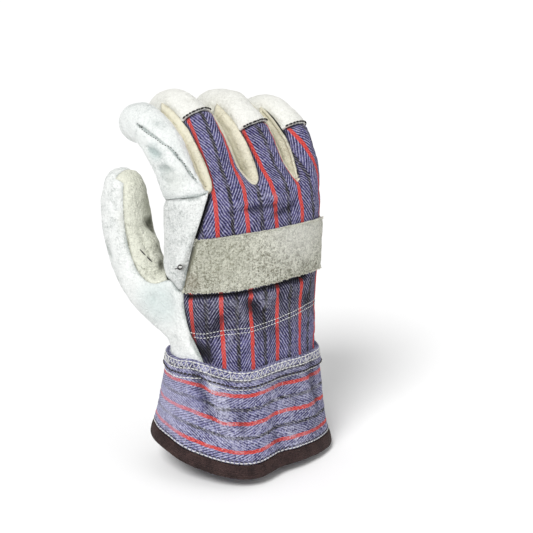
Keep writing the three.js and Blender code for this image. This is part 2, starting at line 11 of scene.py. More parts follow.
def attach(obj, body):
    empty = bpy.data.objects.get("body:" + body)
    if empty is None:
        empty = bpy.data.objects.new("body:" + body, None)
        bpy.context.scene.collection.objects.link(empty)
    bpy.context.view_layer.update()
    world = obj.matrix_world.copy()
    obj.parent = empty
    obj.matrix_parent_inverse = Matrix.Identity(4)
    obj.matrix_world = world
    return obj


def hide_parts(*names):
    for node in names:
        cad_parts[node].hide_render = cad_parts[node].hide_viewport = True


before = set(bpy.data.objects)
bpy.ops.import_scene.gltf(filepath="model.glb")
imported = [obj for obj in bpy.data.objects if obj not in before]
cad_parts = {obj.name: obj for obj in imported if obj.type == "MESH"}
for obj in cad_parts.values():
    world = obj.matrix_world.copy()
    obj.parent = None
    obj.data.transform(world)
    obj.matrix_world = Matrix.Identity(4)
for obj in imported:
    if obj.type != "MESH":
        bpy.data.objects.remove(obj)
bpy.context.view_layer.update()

# Palm: one cut of split leather, napped side out, over the palm, the palm side of three fingers
# and round to the thumb's side of the back, with a tongue that is sewn down on the cuff.
# The hand's leather is sewn inside out and turned, so each seam is a groove between two swells.
MM = 0.001
WELD = 0.02 * MM
SHEET_CREASE = radians(45)
LEATHER = 1.6 * MM
SHEET_LEVELS = 3
SEAM_PARTS = 16  # places that a seam is given between two of its corners
# Hollows are painted shade: at FULL_HOLLOW a plain crease is painted its darkest, and painted
# shadow lines along seams reach up to DEEPEST_HOLLOW.
FULL_HOLLOW = 1.5 * MM  # a crease this deep is as dark as a plain crease gets
DEEPEST_HOLLOW = 2.4


def groove_of(deep, wide, swell=0, swell_at=5, painted_shade=0):
    """The shape of a seam or an edge, in mm: how deep and wide its groove is, how high the leather
    swells beside it and where. The last is how dark a painted shadow along its line is."""
    shape = {"deep": deep, "wide": wide, "swell": swell, "swell_at": swell_at}
    return {**{key: size * MM for key, size in shape.items()}, "painted_shade": painted_shade}


SEAM_GROOVE = groove_of(1.0, 1.7, 0.45)
NO_GROOVE = groove_of(0.15, 0.8)

# Creases of the filled glove: x, y and z are a crease's middle, dx, dy and dz its direction, long
# and broad its half length and half breadth, rise how far it stands out, or in if negative, in mm
CREASES = [
    # x, y, z, dx, dy, dz, long, broad, rise
    (-8, -26.5, 164, 1, 0, 0.05, 22, 1.7, -1.5),  # back: slack cloth over the strap
    (-4, -27, 168.5, 1, 0, 0.1, 20, 2.6, 1.5),
    (16, -27, 161, 1, 0, 0.3, 14, 1.7, -1.2),
    (4, -27, 172, 1, 0, -0.6, 8, 2.4, 1.2),
    (-14, -28, 174, 0.5, 0, 1, 9, 2.0, -1.0),
    (26, -26, 170, 0.5, 0, 1, 9, 2.2, -1.3),
    (-7.5, -29.5, 105, 11, 1, -15, 8, 2.8, -2.6),  # back: gathers of the elastic
    (-15, -30, 101, 9, 1, -16, 10, 3.4, 1.8),
    (1, -30, 107, 9, 1, -16, 9, 3.0, 1.3),
    (-27, -26, 98, 0.5, 0, 1, 9, 2.4, -1.2),
    (-22, -28, 84, 0.4, 0, 1, 9, 3.2, 1.6),
    (14, -30, 104, -0.4, 0, 1, 12, 2.4, -1.6),
    (22, -30, 106, -0.5, 0, 1, 12, 2.6, 1.2),
    (36, -24, 94, -0.3, 0, 1, 12, 2.4, -1.6),
    (-36.5, -21.5, 77, 5, -6, -9, 10, 3.4, -2.8),
    (-30, -33, 42, 8, -9, -31, 22, 4.0, 2.6),  # cuff
    (-38, -27, 48, 7, -8, -31, 16, 3.8, -1.9),
    (-19, -37, 40, 3, -2, -31, 18, 3.6, -1.1),
    (4, -37, 34, -0.15, 0, 1, 24, 3.4, -0.9),
    (15, -36, 26, -0.25, 0, 1, 22, 3.4, 1.5),
    (27, -33, 50, 0.5, 0, 1, 14, 3.0, -1.3),
    (40, -24, 40, -0.3, 0, 1, 20, 3.4, -1.8),
    (46, -12, 30, 0.1, 0, 1, 20, 3.6, 1.4),
    (-20, 36, 26, 0.1, 0, 1, 22, 3.4, -1.6),
    (18, 38, 22, -0.2, 0, 1, 22, 3.4, 1.4),
    (0, 26, 160, 1, 0, 0.1, 36, 2.6, -2.2),  # palm
    (10, 27, 152, 1, 0, -0.15, 22, 2.4, -1.2),
    (-16, 28, 118, 0.5, 0, 1, 20, 3.0, -2.0),
    (-26, 30, 100, 0.7, 0, 1, 16, 2.6, -1.6),
    (6, 30, 104, 1, 0, 0.3, 24, 3.0, -1.2),
    (24, 28, 96, 0.6, 0, -1, 14, 2.6, -1.4),
    (-30, 26, 84, 1, 0, 0.2, 16, 2.2, -1.4),
    (-47.6, 32.8, 144.6, 4, 1.5, -3.6, 6, 3.4, -3.1),  # thumb's root
    (-46.5, 28, 135, 4, 2, -2, 7, 4.0, 2.4),
    (-54.5, 24, 135, 5, -6, -16, 9, 1.5, -1.6),
    (-47, 17, 122, 3, 6, 1, 8, 2.2, -2.0),
    (-57, 8, 106, 1, 1, -1, 12, 3.0, -1.4),
    (-60, 44, 128, 0.9, 0.4, 0, 12, 2.4, -1.2),
    (-62, 50, 140, 0.9, 0.4, 0, 12, 2.2, -0.9),
    (-46, -12, 130, 0.2, 0.3, 1, 14, 2.4, 1.2),  # leather wrapped round to the back
    (-40, -16, 150, 0.1, 0.3, 1, 12, 2.4, -0.9),
    (-56, 2, 198, 5, -12, -2, 8, 2.4, -1.5),  # index finger
    (-52, -6, 189, 4, -8, 1, 8, 2.0, -1.2),
    (-47, -8, 182, 0.9, -0.2, 0.4, 8, 1.8, -0.9),
]


def merged_copy(node):
    """A CAD piece as a bmesh of four-sided faces."""
    bm = bmesh.new()
    bm.from_mesh(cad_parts[node].data)
    bmesh.ops.remove_doubles(bm, verts=bm.verts, dist=WELD)
    bmesh.ops.join_triangles(
        bm,
        faces=bm.faces,
        angle_face_threshold=radians(60),
        angle_shape_threshold=pi,
        topology_influence=1.0,
    )
    return bm


def add_object(name, bm, material=None):
    """An object with the mesh of bm, smooth where it has a material."""
    mesh = bpy.data.meshes.new(name)
    bm.to_mesh(mesh)
    bm.free()
    if material:
        mesh.materials.append(material)
        for polygon in mesh.polygons:
            polygon.use_smooth = True
    piece = bpy.data.objects.new(name, mesh)
    bpy.context.scene.collection.objects.link(piece)
    return piece


def outside_of(node):
    """The outer sheet of a CAD piece, without its thickness."""
    bm = merged_copy(node)
    group = {}
    areas = []
    for start in bm.faces:
        if start in group:
            continue
        group[start] = len(areas)
        areas.append(0)
        reached = [start]
        while reached:
            face = reached.pop()
            areas[-1] += face.calc_area()
            for edge in face.edges:
                if edge.calc_face_angle(pi) < SHEET_CREASE:
                    for other in edge.link_faces:
                        if other not in group:
                            group[other] = group[start]
                            reached.append(other)
    bm.faces.ensure_lookup_table()
    tree = BVHTree.FromBMesh(bm)
    outer = set()
    for number in range(len(areas)):
        votes = 0
        for face in bm.faces:
            if group[face] == number:
                start = face.calc_center_median() - face.normal * WELD
                hit = tree.ray_cast(start, -face.normal, 2.5 * LEATHER)[2]
                if hit is not None:
                    votes += 1 if areas[number] > areas[group[bm.faces[hit]]] else -1
        if votes > 0:
            outer.add(number)
    inner = [f for f in bm.faces if group[f] not in outer]
    bmesh.ops.delete(bm, geom=inner, context="FACES")
    return bm


SLACK = [(21 * MM, 0.9 * MM), (9 * MM, 0.38 * MM)]  # how broad its waves are and how high
PUCKER_SIZE = 6.5 * MM
PUCKER_DEPTH = 0.3 * MM


def crease_depth(places):
    """How far the leather or cloth stands out at each place, from its creases and slackness."""
    out = np.zeros(len(places))
    for x, y, z, dx, dy, dz, long, broad, rise in CREASES:
        away = places - np.array((x, y, z)) * MM
        line = np.array((dx, dy, dz)) / sqrt(dx * dx + dy * dy + dz * dz)
        run = away @ line
        off = (away**2).sum(axis=1) - run**2
        out += rise * MM * np.exp(-((run / (long * MM)) ** 2) - off / (broad * MM) ** 2)
    for i, place in enumerate(places):
        p = Vector(place)
        out[i] += sum(noise.noise(p / size) * height for size, height in SLACK)
        pucker = 1 - abs(noise.noise(p / PUCKER_SIZE + Vector((3, 7, 1)))) * 3.2
        out[i] -= PUCKER_DEPTH * max(pucker, 0)
    return out


def rim_loops(bm):
    """The open rims of a sheet, each a list of its vertices in order."""
    left = {e for e in bm.edges if e.is_boundary}
    loops = []
    while left:
        edge = left.pop()
        loop = [edge.verts[0], edge.verts[1]]
        while True:
            step = next((e for e in loop[-1].link_edges if e in left), None)
            if step is None:
                break
            left.discard(step)
            loop.append(step.other_vert(loop[-1]))
        loops.append(loop[:-1] if loop[0] == loop[-1] else loop)
    return loops


sheets = {}


def sheet_piece(
    node, material, wall, groove, cut_edge=None, edge=NO_GROOVE, seams=(), coordinates=None
):
    """A sewn piece over a CAD node: its outer sheet made smooth, creased, grooved along its seams
    and given its wall. cut_edge tells which rim points are a raw edge, shaped as edge says; seams
    are lines across the piece, in mm, each with the shape of its groove."""
    name = node + "_piece"
    piece = add_object(name, outside_of(node))
    mesh = piece.data
    if coordinates:
        coordinates(piece)
    smoother = piece.modifiers.new("smooth", "SUBSURF")
    smoother.levels = smoother.render_levels = SHEET_LEVELS
    smoother.boundary_smooth = "PRESERVE_CORNERS"
    smoother.uv_smooth = "PRESERVE_BOUNDARIES"
    bpy.context.view_layer.update()
    evaluated = piece.evaluated_get(bpy.context.evaluated_depsgraph_get())
    fine = bpy.data.meshes.new_from_object(evaluated)
    piece.modifiers.remove(smoother)
    piece.data = fine
    bpy.data.meshes.remove(mesh)
    fine.name = name

    bm = bmesh.new()
    bm.from_mesh(fine)
    bm.normal_update()
    places = np.array([v.co for v in bm.verts])
    out = crease_depth(places)
    rim = [v.co for loop in rim_loops(bm) for v in loop]
    skin = BVHTree.FromBMesh(bm)
    lines = [
        ([p for p in rim if not (cut_edge and cut_edge(p))], groove),
        ([p for p in rim if cut_edge and cut_edge(p)], edge),
    ]
    for seam, shape in seams:
        corners = [Vector(p) * MM for p in seam]
        ends = list(zip(corners, corners[1:]))
        joined = [a.lerp(b, k / SEAM_PARTS) for a, b in ends for k in range(SEAM_PARTS)]
        lines.append(([skin.find_nearest(p)[0] for p in joined], shape))
    trees = []
    for line, shape in lines:
        if line:
            tree = KDTree(len(line))
            for i, p in enumerate(line):
                tree.insert(p, i)
            tree.balance()
            trees.append((tree, shape))
    # hollow: how far each place sinks, plus the painted shadow lines along seams. The materials
    # paint shade by it.
    hollow = bm.verts.layers.float.new("hollow")
    for i, v in enumerate(bm.verts):
        painted_shade = 0
        for tree, shape in trees:
            away = tree.find(v.co)[2]
            near = np.exp(-((away / shape["wide"]) ** 2))
            beside = np.exp(-((away / shape["swell_at"] - 1) ** 2))
            out[i] += shape["swell"] * beside - shape["deep"] * near
            painted_shade += shape["painted_shade"] * near
        v[hollow] = float(np.clip(painted_shade - out[i] / FULL_HOLLOW, -1, DEEPEST_HOLLOW))
    normals = [v.normal.copy() for v in bm.verts]
    for v, normal, distance in zip(bm.verts, normals, out):
        v.co += normal * distance
    bm.normal_update()
    tree = BVHTree.FromBMesh(bm)
    sheets[name] = {
        "tree": tree,
        "seams": [[tree.find_nearest(p)[0] for p in line] for line, _ in lines[2:]],
        "rims": [[(v.co.copy(), v.normal.copy()) for v in loop] for loop in rim_loops(bm)],
    }
    bm.to_mesh(fine)
    bm.free()
    for polygon in fine.polygons:
        polygon.use_smooth = True
    fine.materials.clear()
    fine.materials.append(material)
    thick = piece.modifiers.new("wall", "SOLIDIFY")
    thick.thickness = wall
    thick.offset = -1
    thick.use_even_offset = False
    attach(piece, "root")
    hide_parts(node)
    return piece


class Flow:
    """A number running through a material's nodes, so that a pattern is written as a formula."""

    def __init__(self, tree, socket):
        self.tree = tree
        self.socket = socket

    def step(self, operation, *others):
        node = self.tree.nodes.new("ShaderNodeMath")
        node.operation = operation
        for slot, value in zip(node.inputs, (self, *others)):
            if isinstance(value, Flow):
                self.tree.links.new(value.socket, slot)
            else:
                slot.default_value = value
        return Flow(self.tree, node.outputs[0])

    def __add__(self, other):
        return self.step("ADD", other)

    def __sub__(self, other):
        return self.step("SUBTRACT", other)

    def __mul__(self, other):
        return self.step("MULTIPLY", other)

    def __truediv__(self, other):
        return self.step("DIVIDE", other)

    def between(self, low, high, start=0.0, end=1.0):
        """start below low, end above high, and even in between."""
        node = self.tree.nodes.new("ShaderNodeMapRange")
        node.interpolation_type = "SMOOTHSTEP"
        self.tree.links.new(self.socket, node.inputs["Value"])
        keys = ("From Min", "From Max", "To Min", "To Max")
        for key, value in zip(keys, (low, high, start, end)):
            node.inputs[key].default_value = value
        return Flow(self.tree, node.outputs["Result"])

    def blend(self, first, second):
        """The first colour where this is 0 and the second where it is 1."""
        node = self.tree.nodes.new("ShaderNodeMix")
        node.data_type = "RGBA"
        self.tree.links.new(self.socket, node.inputs["Factor"])
        colour_slots = [s for s in node.inputs if s.type == "RGBA"]
        for slot, colour in zip(colour_slots, (first, second)):
            if isinstance(colour, Flow):
                self.tree.links.new(colour.socket, slot)
            else:
                slot.default_value = (*colour, 1)
        return Flow(self.tree, next(s for s in node.outputs if s.type == "RGBA"))


def hue(red, green, blue):
    """A colour as the eye names it, from 0 to 255, in the render's linear values."""
    shares = (v / 255 for v in (red, green, blue))
    return tuple(s / 12.92 if s <= 0.04 else ((s + 0.055) / 1.055) ** 2.4 for s in shares)


def start_material(name, roughness):
    """A cloth or leather with its shader, its nodes and its place on the object."""
    material = bpy.data.materials.new(name)
    material.use_nodes = True
    tree = material.node_tree
    shader = tree.nodes["Principled BSDF"]
    shader.inputs["Roughness"].default_value = roughness
    shader.inputs["Specular IOR Level"].default_value = 0.2
    place = tree.nodes.new("ShaderNodeTexCoord").outputs["Object"]
    return material, tree, shader, place


def grain(tree, place, size, detail=2.0, roughness=0.5, stretch=(1, 1, 1), distortion=0.0):
    """Cloudy grain with blots of about this size, from 0 to 1."""
    mapping = tree.nodes.new("ShaderNodeMapping")
    mapping.inputs["Scale"].default_value = [s / size for s in stretch]
    tree.links.new(place, mapping.inputs["Vector"])
    node = tree.nodes.new("ShaderNodeTexNoise")
    node.inputs["Scale"].default_value = 1
    node.inputs["Detail"].default_value = detail
    node.inputs["Roughness"].default_value = roughness
    node.inputs["Distortion"].default_value = distortion
    tree.links.new(mapping.outputs[0], node.inputs["Vector"])
    return Flow(tree, node.outputs[0])


def attribute(tree, name):
    node = tree.nodes.new("ShaderNodeAttribute")
    node.attribute_name = name
    return Flow(tree, node.outputs["Fac"])


def raise_surface(tree, shader, height, distance):
    bump = tree.nodes.new("ShaderNodeBump")
    bump.inputs["Distance"].default_value = distance
    tree.links.new(height.socket, bump.inputs["Height"])
    tree.links.new(bump.outputs[0], shader.inputs["Normal"])


PATCH_CORE = 0.2  # a patch is even over this share of its reach


def tinted(tree, place, colour, patches):
    """Soft patches over a colour: each has a place and reach in mm, a colour and its strength."""
    for x, y, z, reach, tint, strength in patches:
        node = tree.nodes.new("ShaderNodeVectorMath")
        node.operation = "DISTANCE"
        tree.links.new(place, node.inputs[0])
        node.inputs[1].default_value = (x * MM, y * MM, z * MM)
        near = Flow(tree, node.outputs["Value"]).between(reach * MM, PATCH_CORE * reach * MM)
        colour = (near * strength).blend(colour, tint)
    return colour


NAP = 0.9 * MM


def suede(name, light, shade, stain, nap=1.0, speckle=0.5, stained=0.3, clouded=1.0, patches=()):
    """Split leather, napped side out: light fibres brushed both ways, so it mottles, with darker
    pits, painted shade in its hollows and painted shadow lines along some seams."""
    material, tree, shader, place = start_material(name, 0.95)
    shader.inputs["Sheen Weight"].default_value = 0.08
    shader.inputs["Sheen Roughness"].default_value = 0.6
    cloud = grain(tree, place, 38 * MM, 3, 0.5)
    brushed = grain(tree, place, 9 * MM, 4, 0.6, distortion=0.8)
    curls = grain(tree, place, 1.9 * MM, 2, 0.6, distortion=1.6)
    pits = grain(tree, place, 1.3 * MM, 2, 0.7)
    fibres = grain(tree, place, 0.9 * MM, 2, 0.7, stretch=(1.9, 1.9, 0.6), distortion=0.5)
    hollow = attribute(tree, "hollow")
    dark = curls.between(0.42, 0.62) * (0.6 * speckle) + pits.between(0.44, 0.62) * (0.5 * speckle)
    dark = dark + fibres.between(0.42, 0.66) * (0.3 * speckle)
    dark = dark * (cloud * 0.5 + brushed * 0.5).between(0.38, 0.6, 1 - 0.6 * clouded, 1.15)
    dark = dark + brushed.between(0.48, 0.7) * (0.2 * clouded)
    dark = dark + cloud.between(0.48, 0.68) * (0.16 * clouded)
    # painted shade in the hollows of creases and seams
    dark = dark + hollow.between(0.08, 0.95) * 0.62
    colour = dark.between(-0.1, 1.2).blend(light, shade)
    spots = (grain(tree, place, 13 * MM, 5, 0.7) * 0.6 + pits * 0.4).between(0.56, 0.7) * stained
    colour = spots.blend(colour, stain)
    specks = grain(tree, place, 2.1 * MM, 2, 0.6).between(0.68, 0.74) * (0.5 * speckle)
    colour = specks.blend(colour, stain)
    # painted shadow, near black, along the shadow lines of seams
    colour = (hollow.between(1.5, 2.4) * 0.8).blend(colour, hue(30, 29, 23))
    colour = tinted(tree, place, colour, patches)
    tree.links.new(colour.socket, shader.inputs["Base Color"])
    height = pits * 0.7 + fibres * 0.5 + curls * 1.0 + brushed * 1.3
    raise_surface(tree, shader, height, nap * NAP)
    return material


palm_suede = suede(
    "palm_suede",
    hue(240, 242, 240),
    hue(156, 163, 160),
    hue(150, 152, 140),
    speckle=0.42,
    stained=0.2,
    # a painted shadow beside the knot
    patches=[(-46.4, -15.8, 130.4, 3.4, hue(50, 47, 42), 0.6)],
)
TONGUE_TOP = 70 * MM


def palm_cut(p):
    """The tongue's edges on the cuff are raw."""
    return p.z < TONGUE_TOP and p.y > 0


# The edge that is wrapped round to the back stands up beside the strap, in mm
FLAP_EDGE = [
    (-31.9, -18.8, 172.8),
    (-33.3, -19.0, 168.1),
    (-36.3, -19.8, 160.8),
    (-38.3, -19.6, 154.9),
    (-41.0, -18.2, 147.5),
    (-43.7, -16.7, 140.1),
    (-46.1, -14.5, 133.6),
    (-48.1, -13.0, 130.3),
]
STANDING = groove_of(-1.7, 2.4)
palm = sheet_piece(
    "palm_leather",
    palm_suede,
    LEATHER,
    SEAM_GROOVE,
    cut_edge=palm_cut,
    seams=[(FLAP_EDGE, STANDING)],
)

# Thread: each row of stitches is a piece of its own, every stitch a short spun strand that dips
# into the leather at both ends.
THREAD = 0.75 * MM
STITCH_SIDES = 6
STITCH_RINGS = 5
SHORTEST = 0.2 * MM
SPUN = 0.7 * MM  # the twist of the yarn


def thread_material(name, colour, dark):
    material, tree, shader, place = start_material(name, 0.8)
    spun = grain(tree, place, SPUN, 2, 0.6).between(0.3, 0.7)
    tree.links.new(spun.blend(dark, colour).socket, shader.inputs["Base Color"])
    return material


white_thread = thread_material("white_thread", hue(240, 240, 236), hue(196, 196, 194))
dark_thread = thread_material("dark_thread", hue(66, 62, 60), hue(30, 28, 28))
beige_thread = thread_material("beige_thread", hue(206, 202, 186), hue(150, 146, 130))


def smooth_run(run, rounds=2):
    """Evens out a run of places, its ends kept."""
    for _ in range(rounds):
        inner = [(a + b * 2 + c) / 4 for a, b, c in zip(run, run[1:], run[2:])]
        run = [run[0], *inner, run[-1]]
    return run


def along_rim(name, inset, keep, rounds=2):
    """Runs of places on a sheet, set in from its rims by inset, where keep(place) is true."""
    tree = sheets[name]["tree"]
    runs = []
    for rim in sheets[name]["rims"]:
        count = len(rim)
        spots = []
        for i, (place, normal) in enumerate(rim):
            if not keep(place):
                spots.append(None)
                continue
            tangent = (rim[(i + 3) % count][0] - rim[i - 3][0]).normalized()
            sideways = normal.cross(tangent).normalized() * inset
            hits = [tree.find_nearest(place + s) for s in (sideways, -sideways)]
            spots.append(min(hits, key=lambda hit: hit[3])[0])
        if None not in spots:
            runs.append(smooth_run([*spots, spots[0]], rounds))
            continue
        first = spots.index(None)
        run = []
        for spot in spots[first:] + spots[: first + 1]:
            if spot is not None:
                run.append(spot)
            elif len(run) > 3:
                runs.append(smooth_run(run, rounds))
                run = []
            else:
                run = []
    return runs


def over_sheet(name, places, towards, parts=12, start=0.2):
    """A run of places on a sheet under a line through these places, looking towards it."""
    tree = sheets[name]["tree"]
    ends = list(zip(places, places[1:]))
    line = [*(a.lerp(b, k / parts) for a, b in ends for k in range(parts)), places[-1]]
    hits = [tree.ray_cast(p - towards * start, towards)[0] for p in line]
    return smooth_run([hit for hit in hits if hit is not None])


def evenly(run, pitch):
    """Places along a run, pitch apart."""
    steps = [0.0]
    for a, b in zip(run, run[1:]):
        steps.append(steps[-1] + (b - a).length)
    table = np.array(run)
    at = np.arange(0, steps[-1], pitch)
    return [Vector(p) for p in zip(*(np.interp(at, steps, table[:, k]) for k in range(3)))]


def add_strand(bm, start, end, normal, thick, lift, sides=STITCH_SIDES, rings=STITCH_RINGS):
    """One stitch from start to end, its middle lifted off the sheet."""
    along = end - start
    if along.length < SHORTEST:
        return
    along_way = along.normalized()
    sideways = normal.cross(along_way).normalized()
    up = along_way.cross(sideways)
    centre = (start + end) / 2 + up * lift
    rows = (sideways * thick / 2, up * thick / 2, along_way * along.length / 2)
    basis = Matrix(rows).transposed()
    bmesh.ops.create_uvsphere(
        bm,
        u_segments=sides,
        v_segments=rings,
        radius=1,
        matrix=Matrix.Translation(centre) @ basis.to_4x4(),
    )


def thread_piece(name, bm, material):
    piece = add_object(name, bm, material)
    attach(piece, "root")
    return piece


WANDER = 0.1  # how far a stitch strays to a side, as a share of its length
WANDER_SIZE = 2 * MM


def stitch_row(
    name, sheet, runs, material, pitch=2.8 * MM, gap=0.7 * MM, thick=THREAD, lift=0.12 * MM
):
    """A row of running stitches along the runs on a sheet."""
    bm = bmesh.new()
    tree = sheets[sheet]["tree"]
    for run in runs:
        spots = evenly(run, pitch)
        for a, b in zip(spots, spots[1:]):
            normal = tree.find_nearest(a.lerp(b, 0.5))[1]
            sideways = normal.cross(b - a) * (noise.noise(a / WANDER_SIZE) * WANDER)
            end = a.lerp(b, 1 - gap / pitch)
            add_strand(bm, a - sideways, end + sideways, normal, thick, lift)
    return thread_piece(name, bm, material)


TONGUE_ROWS = (2.5 * MM, 8 * MM)  # how far in from the tongue's edge


def on_tongue(p):
    return p.z < TONGUE_TOP - 6 * MM and p.y > 0


tongue_runs = []
for inset in TONGUE_ROWS:
    tongue_runs += along_rim("palm_leather_piece", inset, on_tongue)
tongue_stitches = stitch_row("tongue_stitches", "palm_leather_piece", tongue_runs, beige_thread)

# Knot: dark thread wound up at the corner of the wrapped edge, where its seam is finished off,
# with two white ends that stick out of it.
KNOT = Vector((-47.2, -14.2, 131.4)) * MM
KNOT_ROUND = 1.3 * MM
KNOT_PARTS = 9
KNOT_THREAD = 0.65 * MM
KNOT_HIGH = 0.4 * MM
bm = bmesh.new()
spot, normal, *_ = sheets["palm_leather_piece"]["tree"].find_nearest(KNOT)
first_way = normal.orthogonal().normalized()
second_way = normal.cross(first_way)
ring = []
for k in range(KNOT_PARTS + 2):
    turn = 2 * pi * k / KNOT_PARTS
    reach = KNOT_ROUND * (1 + 0.12 * k / KNOT_PARTS + 0.3 * cos(turn) + 0.2 * sin(2 * turn))
    outward = first_way * cos(turn) + second_way * sin(turn)
    ring.append(spot + outward * reach + normal * KNOT_HIGH)
for a, b in zip(ring, ring[1:]):
    add_strand(bm, a.lerp(b, -0.15), a.lerp(b, 1.15), normal, KNOT_THREAD, 0)
tail = (first_way * 1.8 - second_way * 1.4) * MM
add_strand(bm, ring[0], ring[0] + tail, normal, 0.6 * MM, 0.1 * MM)
knot = thread_piece("flap_knot", bm, dark_thread)
bm = bmesh.new()
for end in (first_way - second_way * 0.5, second_way - first_way * 0.3):
    add_strand(bm, spot - end * MM, spot + end * MM, normal, 1.1 * MM, 0.5 * MM)
knot_ends = thread_piece("flap_knot_ends", bm, white_thread)

# Back: cotton drill in a herringbone weave, cut with a lobe up each of three fingers. Red stripes
# are woven in, with a broken black stripe between two red ones, and the weave turns at each.
CLOTH = 1.2 * MM
STRIPE_PITCH = 18.6 * MM
RED_WIDTH = 2.5 * MM
BLACK_WIDTH = 2.6 * MM
WEAVE_TURNS = 0.58  # where the herringbone turns between two red stripes, as a share of the way
TWILL_RISE = 2.9 * MM
TWILL_RUN = 1.8 * MM
YARN = 0.42 * MM
STRIPE_WANDER = 1.0 * MM
WEAVE_DEPTH = 0.35 * MM
BLACK = hue(12, 12, 20)
FINGER_LEAN = 0.14
CROTCH_HEIGHT = 170 * MM
CLOTH_GROOVE = groove_of(1.4, 1.7, 0.3)


def cloth_place(tree):
    """Where a point lies on the cloth laid flat: the socket, the way across and the way along."""
    flat = tree.nodes.new("ShaderNodeUVMap")
    flat.uv_map = "cloth"
    split = tree.nodes.new("ShaderNodeSeparateXYZ")
    tree.links.new(flat.outputs[0], split.inputs[0])
    return flat.outputs[0], Flow(tree, split.outputs[0]), Flow(tree, split.outputs[1])


def wave(way, length):
    return (way / length * (2 * pi)).step("SINE")


def drill(name, faded, first_red, patches=()):
    """Herringbone cotton drill. faded is how pale it is, first_red where a red stripe lies."""
    material, tree, shader, place = start_material(name, 0.92)
    shader.inputs["Sheen Weight"].default_value = 0.06
    flat, across, along = cloth_place(tree)
    wander = grain(tree, flat, 8 * MM, 2) - 0.5
    across = across + wander * STRIPE_WANDER
    stripe = (across - first_red) / STRIPE_PITCH
    share = stripe.step("FRACT")
    turn = (share - 0.5).step("ABSOLUTE")
    from_red = (turn * -1 + 0.5) * STRIPE_PITCH
    from_black = turn * STRIPE_PITCH
    slope = (share - WEAVE_TURNS).step("ABSOLUTE") * (-STRIPE_PITCH / TWILL_RUN)
    course = along / TWILL_RISE + slope + wander * 1.1
    thread = course.step("FRACT")
    light_line = thread.between(0.04, 0.16) * thread.between(0.42, 0.30)
    dark_line = thread.between(0.42, 0.54) * thread.between(1.0, 0.88)
    broken = grain(tree, flat, 1.3 * MM, 2, 0.7)
    slubs = grain(tree, flat, 3.4 * MM, 3, 0.7, stretch=(1.5, 0.6, 1))
    patchy = grain(tree, flat, 17 * MM, 3, 0.6)
    flecks = slubs * 0.5 + broken * 0.5
    hollow = attribute(tree, "hollow")
    # low: painted shade between two heights of the laid-out cloth, on the back from below the strap
    # down to the elastic, less on faded cloth. It darkens the cloth and dims its light twill lines.
    low = along.between(0.150, 0.116) * along.between(0.078, 0.096) * (1 - faded)
    blue = patchy.between(0.35, 0.65) * 0.45 + slubs.between(0.3, 0.7) * 0.3
    blue = blue + broken.between(0.35, 0.65) * 0.25
    blue = blue.blend(hue(58, 54, 120), hue(114, 106, 176))
    blue = flecks.between(0.38, 0.58, 0, faded).blend(blue, hue(176, 178, 222))
    light_share = light_line * broken.between(0.36, 0.54, 0.25, 1.0)
    light_share = light_share * slubs.between(0.34, 0.6, 0.45, 1.0)
    light_share = light_share * (low * -0.16 + (0.80 - 0.05 * faded))
    dark_share = dark_line * broken.between(0.70, 0.46, 0.3, 1.0)
    dark_share = dark_share * slubs.between(0.66, 0.42, 0.5, 1.0) * (0.98 - 0.35 * faded)
    colour = (low * 0.7).blend(blue, BLACK)
    colour = dark_share.blend(colour, BLACK)
    jag = (thread - 0.5) * (0.4 * MM) + (broken - 0.5) * (1.2 * MM)
    black_stripe = (from_black + jag).between(BLACK_WIDTH * 0.6, BLACK_WIDTH * 0.3)
    black_stripe = black_stripe * slubs.between(0.62, 0.42, 0.5, 1.0) * 0.92
    colour = black_stripe.blend(colour, hue(24, 23, 24))
    light = black_stripe.blend(hue(226, 224, 238), hue(158, 154, 136))
    colour = light_share.blend(colour, light)
    red_stripe = (from_red + jag * 0.5).between(RED_WIDTH * 0.56, RED_WIDTH * 0.44)
    red = (thread.between(0.2, 0.8) * 0.6 + broken * 0.4).blend(hue(250, 104, 88), hue(190, 22, 34))
    colour = (red_stripe * 0.98).blend(colour, red)
    worn = hollow.between(-0.15, -0.9) * (0.12 + 0.42 * faded)
    worn = patchy.between(0.42, 0.66) * (0.4 * faded) + worn
    worn = worn * flecks.between(0.4, 0.56, 0.05, 1.0)
    colour = worn.blend(colour, hue(222, 222, 242))
    rubbed = grain(tree, flat, 1.7 * MM, 2, 0.75)
    colour = (rubbed.between(0.56, 0.68) * (0.75 * faded)).blend(colour, hue(236, 236, 246))
    colour = (rubbed.between(0.44, 0.32) * (0.75 * faded)).blend(colour, hue(44, 42, 84))
    # painted shade in the cloth's hollows, and painted shadow, near black, along the shadow lines
    # of seams
    colour = (hollow.between(0.1, 0.9) * (0.7 - 0.3 * faded)).blend(colour, hue(14, 13, 30))
    colour = (hollow.between(1.3, 2.0) * 0.85).blend(colour, hue(10, 9, 14))
    colour = tinted(tree, place, colour, patches)
    tree.links.new(colour.socket, shader.inputs["Base Color"])
    weave = wave(across, YARN) * wave(along, YARN)
    height = light_line * 0.9 - dark_line * 0.7 + weave * 0.2 + broken * 0.7 + slubs * 0.8
    raise_surface(tree, shader, height, WEAVE_DEPTH)
    return material


